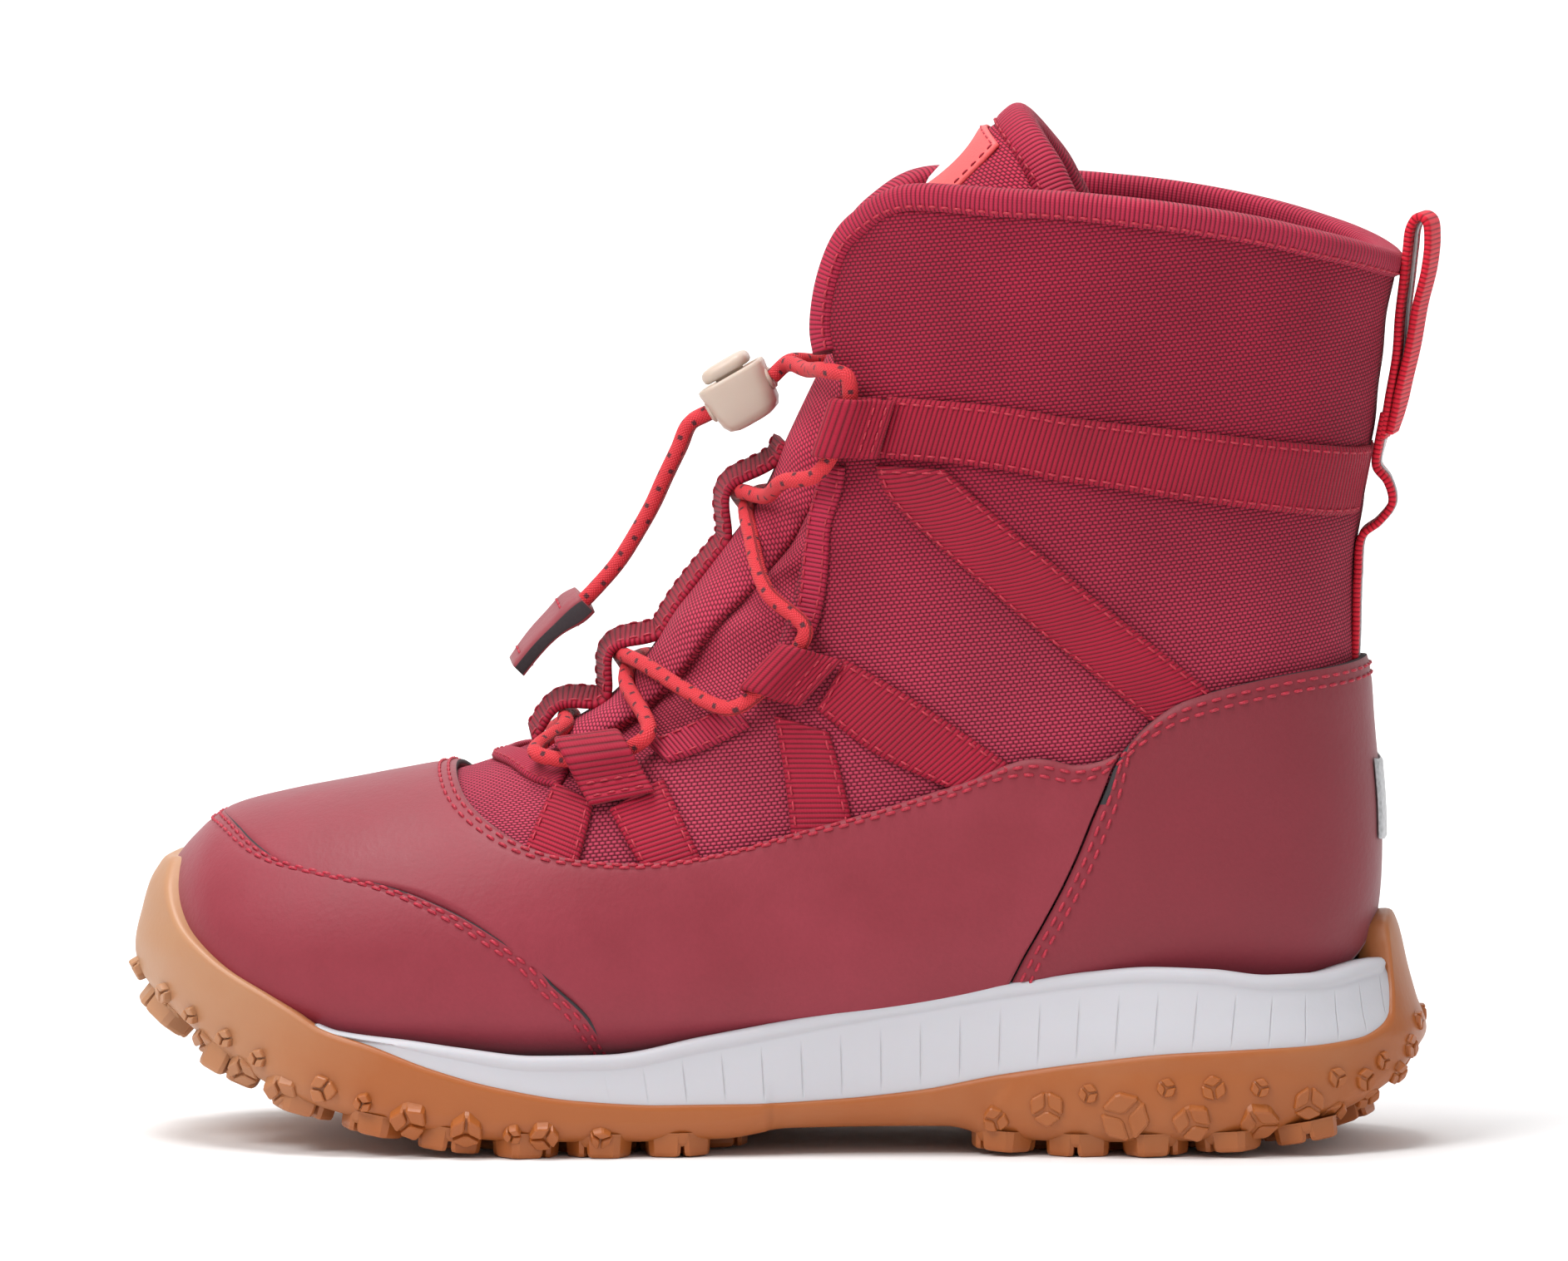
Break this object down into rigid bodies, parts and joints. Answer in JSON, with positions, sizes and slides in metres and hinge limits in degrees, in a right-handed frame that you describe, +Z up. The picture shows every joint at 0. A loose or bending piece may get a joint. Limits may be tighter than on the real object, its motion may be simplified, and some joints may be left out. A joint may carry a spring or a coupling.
{
  "type": "winter boot",
  "caption": "Child's mid-height winter boot, left: lugged gum sole, foam midsole, canvas and nubuck upper, webbing loops, elastic lace with cord lock, heel pull loop",
  "frame": {"origin": "middle of the base of the boot's box, on the floor, measured without the free cord ends", "axes": "+X from toe to heel, +Y toward the medial side, +Z up"},
  "size_m": [0.2065, 0.0789, 0.1634],
  "materials": {
    "outsole": "matte moulded gum rubber",
    "midsole": "moulded EVA foam",
    "insole_board": "pressed fibre board",
    "footbed": "foam footbed with fabric cover",
    "heel_badge": "moulded, no lettering",
    "lining": "brushed lining",
    "toe_puff": "thermoplastic sheet",
    "heel_stiffener": "thermoplastic sheet",
    "vamp_canvas": "coarse canvas",
    "throat_trim": "ribbed tape",
    "toe_cap": "synthetic nubuck",
    "vamp_overlay": "synthetic nubuck",
    "heel_counter_overlay": "synthetic nubuck",
    "collar_binding": "ribbed tape",
    "tongue_body": "padded fabric",
    "tongue_top": "padded fabric",
    "tongue_binding": "ribbed tape",
    "tongue_label": null,
    "tongue_webbing": "ribbed webbing",
    "back_strap": "ribbed webbing",
    "pull_loop": "ribbed webbing",
    "heel_reflector": "reflective film",
    "lace": "elastic cord",
    "lace_tab": "stitched leatherette",
    "lock_body": "moulded",
    "lock_button": "moulded",
    "lock_spring": "spring wire",
    "canvas_lateral": "coarse canvas",
    "gusset_lateral": "thin canvas",
    "trim_upper_lateral": "ribbed tape",
    "trim_lower_lateral": "ribbed tape",
    "tail_lateral": "elastic cord",
    "strap_1_lateral": "ribbed webbing",
    "strap_2_lateral": "ribbed webbing",
    "strap_3_lateral": "ribbed webbing",
    "strap_4_lateral": "ribbed webbing",
    "strap_5_lateral": "ribbed webbing",
    "strap_6_lateral": "ribbed webbing",
    "lace_loop_1_lateral": "ribbed webbing",
    "lace_loop_2_lateral": "ribbed webbing",
    "lace_loop_3_lateral": "ribbed webbing",
    "canvas_medial": "coarse canvas",
    "gusset_medial": "thin canvas",
    "trim_upper_medial": "ribbed tape",
    "trim_lower_medial": "ribbed tape",
    "tail_medial": "elastic cord",
    "strap_1_medial": "ribbed webbing",
    "strap_2_medial": "ribbed webbing",
    "strap_3_medial": "ribbed webbing",
    "strap_4_medial": "ribbed webbing",
    "strap_5_medial": "ribbed webbing",
    "strap_6_medial": "ribbed webbing",
    "lace_loop_1_medial": "ribbed webbing",
    "lace_loop_2_medial": "ribbed webbing",
    "lace_loop_3_medial": "ribbed webbing"
  },
  "bodies": {
    "boot": {"outsole": "outsole", "midsole": "midsole", "insole_board": "insole_board", "footbed": "footbed", "heel_badge": "heel_badge", "lining": "lining", "toe_puff": "toe_puff", "heel_stiffener": "heel_stiffener", "vamp_canvas": "vamp_canvas", "throat_trim": "throat_trim", "toe_cap": "toe_cap", "vamp_overlay": "vamp_overlay", "heel_counter_overlay": "heel_counter_overlay", "collar_binding": "collar_binding", "tongue_body": "tongue_body", "tongue_webbing": "tongue_webbing", "back_strap": "back_strap", "heel_reflector": "heel_reflector", "lace": "lace", "lace_tab": "lace_tab", "canvas_lateral": "canvas_lateral", "gusset_lateral": "gusset_lateral", "trim_upper_lateral": "trim_upper_lateral", "trim_lower_lateral": "trim_lower_lateral", "tail_lateral": "tail_lateral", "strap_1_lateral": "strap_1_lateral", "strap_2_lateral": "strap_2_lateral", "strap_3_lateral": "strap_3_lateral", "strap_4_lateral": "strap_4_lateral", "strap_5_lateral": "strap_5_lateral", "strap_6_lateral": "strap_6_lateral", "lace_loop_1_lateral": "lace_loop_1_lateral", "lace_loop_2_lateral": "lace_loop_2_lateral", "lace_loop_3_lateral": "lace_loop_3_lateral", "canvas_medial": "canvas_medial", "gusset_medial": "gusset_medial", "trim_upper_medial": "trim_upper_medial", "trim_lower_medial": "trim_lower_medial", "tail_medial": "tail_medial", "strap_1_medial": "strap_1_medial", "strap_2_medial": "strap_2_medial", "strap_3_medial": "strap_3_medial", "strap_4_medial": "strap_4_medial", "strap_5_medial": "strap_5_medial", "strap_6_medial": "strap_6_medial", "lace_loop_1_medial": "lace_loop_1_medial", "lace_loop_2_medial": "lace_loop_2_medial", "lace_loop_3_medial": "lace_loop_3_medial"},
    "cord_lock": {"lock_body": "lock_body", "lock_spring": "lock_spring"},
    "button": {"lock_button": "lock_button"},
    "pull_loop": {"pull_loop": "pull_loop"},
    "tongue_top": {"tongue_top": "tongue_top", "tongue_binding": "tongue_binding", "tongue_label": "tongue_label"}
  },
  "joints": [
    {"name": "cord_lock_slide", "type": "slide", "parent": "boot", "child": "cord_lock", "axis": [-0.866, 0, -0.5], "range_m": [0, 0.004], "deforming": ["tail_lateral", "tail_medial"]},
    {"name": "lock_button_press", "type": "slide", "parent": "cord_lock", "child": "button", "axis": [0.5, 0, -0.866], "range_m": [0, 0.0014], "stiffness_N_per_m": 900, "springref_m": -0.002, "deforming": ["lock_spring"]},
    {"name": "pull_loop_bend", "type": "hinge", "parent": "boot", "child": "pull_loop", "pos_m": [0.0965, -0.00075, 0.1155], "axis": [0, 1, 0], "range_deg": [0, 50], "stiffness_Nm_per_rad": 0.01},
    {"name": "tongue_top_lean", "type": "hinge", "parent": "boot", "child": "tongue_top", "pos_m": [0.0155, -0.00075, 0.1358], "axis": [0, 1, 0], "range_deg": [-8, 25], "stiffness_Nm_per_rad": 0.05, "deforming": ["tongue_top", "tongue_body"]}
  ]
}
